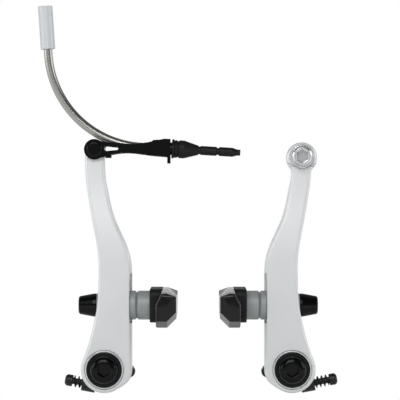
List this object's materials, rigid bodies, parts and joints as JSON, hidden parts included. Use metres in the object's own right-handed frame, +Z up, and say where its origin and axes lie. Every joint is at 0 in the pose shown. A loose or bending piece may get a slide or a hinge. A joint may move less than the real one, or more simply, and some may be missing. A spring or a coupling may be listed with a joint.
{
  "type": "linear-pull bicycle brake",
  "caption": "Linear-pull rim brake: a pair of slim arms on pivot bushes, brake pads on adjustable studs, a folded link with a bent cable guide and rubber boot, and a cable anchor bolt.",
  "frame": {"origin": "midway between the two pivots, in the plane where the bushes' back faces meet the bicycle frame", "axes": "+X to the right as seen by a rider facing the brake's front, +Y towards the bicycle frame, +Z up along the arms"},
  "size_m": [0.1287, 0.061, 0.1666],
  "materials": {
    "arm_paint": "pale silver paint on forged aluminium",
    "plain_steel": "zinc-plated steel",
    "bright_steel": "bright zinc plate",
    "black_steel": "glossy black plate",
    "grey_washer": "satin grey plate",
    "stainless_tube": "polished stainless tube",
    "pale_aluminium": "satin anodised",
    "black_plastic": "moulded, satin",
    "liner_plastic": "natural low-friction plastic",
    "pad_rubber": "moulded brake rubber",
    "boot_rubber": "soft moulded rubber"
  },
  "bodies": {
    "frame_fittings": {"left_pivot_bush": "plain_steel", "left_mount_bolt": "black_steel", "left_front_washer": "bright_steel", "left_spring_base": "black_plastic", "left_return_spring": "bright_steel", "right_pivot_bush": "plain_steel", "right_mount_bolt": "black_steel", "right_front_washer": "bright_steel", "right_spring_base": "black_plastic", "right_return_spring": "bright_steel"},
    "left_arm_swing_body": {"left_arm": "arm_paint", "left_spring_pin": "plain_steel"},
    "left_shoe_clamp": {"left_inner_convex_washer": "grey_washer", "left_outer_convex_washer": "grey_washer"},
    "left_shoe_cup": {"left_inner_concave_washer": "grey_washer", "left_outer_concave_washer": "grey_washer", "left_shoe_nut": "black_steel"},
    "left_shoe": {"left_brake_pad": "pad_rubber", "left_shoe_stud": "plain_steel"},
    "left_adjuster": {"left_adjust_screw": "black_steel"},
    "right_arm_swing_body": {"right_arm": "arm_paint", "right_spring_pin": "plain_steel", "cable_anchor_bolt": "bright_steel", "cable_anchor_washer": "bright_steel"},
    "right_shoe_clamp": {"right_inner_convex_washer": "grey_washer", "right_outer_convex_washer": "grey_washer"},
    "right_shoe_cup": {"right_inner_concave_washer": "grey_washer", "right_outer_concave_washer": "grey_washer", "right_shoe_nut": "black_steel"},
    "right_shoe": {"right_brake_pad": "pad_rubber", "right_shoe_stud": "plain_steel"},
    "right_adjuster": {"right_adjust_screw": "black_steel"},
    "link": {"noodle_link": "black_steel", "link_pin": "black_steel"},
    "noodle": {"noodle_tube": "stainless_tube", "noodle_liner": "liner_plastic", "noodle_ferrule": "pale_aluminium", "noodle_nose": "black_steel", "cable_boot": "boot_rubber"}
  },
  "joints": [
    {"name": "left_arm_swing", "type": "hinge", "parent": "frame_fittings", "child": "left_arm_swing_body", "pos_m": [-0.04, -0.0146, 0], "axis": [0, 1, 0], "range_deg": [-30, 5], "stiffness_Nm_per_rad": 1.5, "deforming": ["left_return_spring"]},
    {"name": "left_shoe_height", "type": "slide", "parent": "left_arm_swing_body", "child": "left_shoe_clamp", "axis": [0, 0, 1], "range_m": [-0.0008, 0.007]},
    {"name": "left_shoe_toe_in", "type": "hinge", "parent": "left_shoe_clamp", "child": "left_shoe_cup", "pos_m": [-0.0345, -0.0146, 0.0272], "axis": [0, 0, 1], "range_deg": [-4, 4]},
    {"name": "left_shoe_turn", "type": "hinge", "parent": "left_shoe_cup", "child": "left_shoe", "pos_m": [-0.0345, -0.0146, 0.0272], "axis": [1, 0, 0], "range_deg": [-15, 15]},
    {"name": "left_adjuster_turn", "type": "hinge", "parent": "frame_fittings", "child": "left_adjuster", "pos_m": [-0.04, -0.0038, -0.0088], "axis": [-0.9833, 0, 0.1822], "continuous": true},
    {"name": "right_arm_swing", "type": "hinge", "parent": "frame_fittings", "child": "right_arm_swing_body", "pos_m": [0.04, -0.0146, 0], "axis": [0, 1, 0], "range_deg": [-5, 30], "stiffness_Nm_per_rad": 1.5, "deforming": ["right_return_spring"]},
    {"name": "right_shoe_height", "type": "slide", "parent": "right_arm_swing_body", "child": "right_shoe_clamp", "axis": [0, 0, 1], "range_m": [-0.0008, 0.007]},
    {"name": "right_shoe_toe_in", "type": "hinge", "parent": "right_shoe_clamp", "child": "right_shoe_cup", "pos_m": [0.0345, -0.0146, 0.0272], "axis": [0, 0, 1], "range_deg": [-4, 4]},
    {"name": "right_shoe_turn", "type": "hinge", "parent": "right_shoe_cup", "child": "right_shoe", "pos_m": [0.0345, -0.0146, 0.0272], "axis": [-1, 0, 0], "range_deg": [-15, 15]},
    {"name": "right_adjuster_turn", "type": "hinge", "parent": "frame_fittings", "child": "right_adjuster", "pos_m": [0.04, -0.0038, -0.0088], "axis": [0.9833, 0, 0.1822], "continuous": true},
    {"name": "link_swing", "type": "hinge", "parent": "left_arm_swing_body", "child": "link", "pos_m": [-0.04425, -0.0146, 0.0938], "axis": [0, 1, 0], "range_deg": [-70, 0]},
    {"name": "noodle_turn", "type": "hinge", "parent": "link", "child": "noodle", "pos_m": [-0.0243, -0.0146, 0.09487], "axis": [0.9983, 0, -0.0576], "range_deg": [-25, 25]}
  ]
}
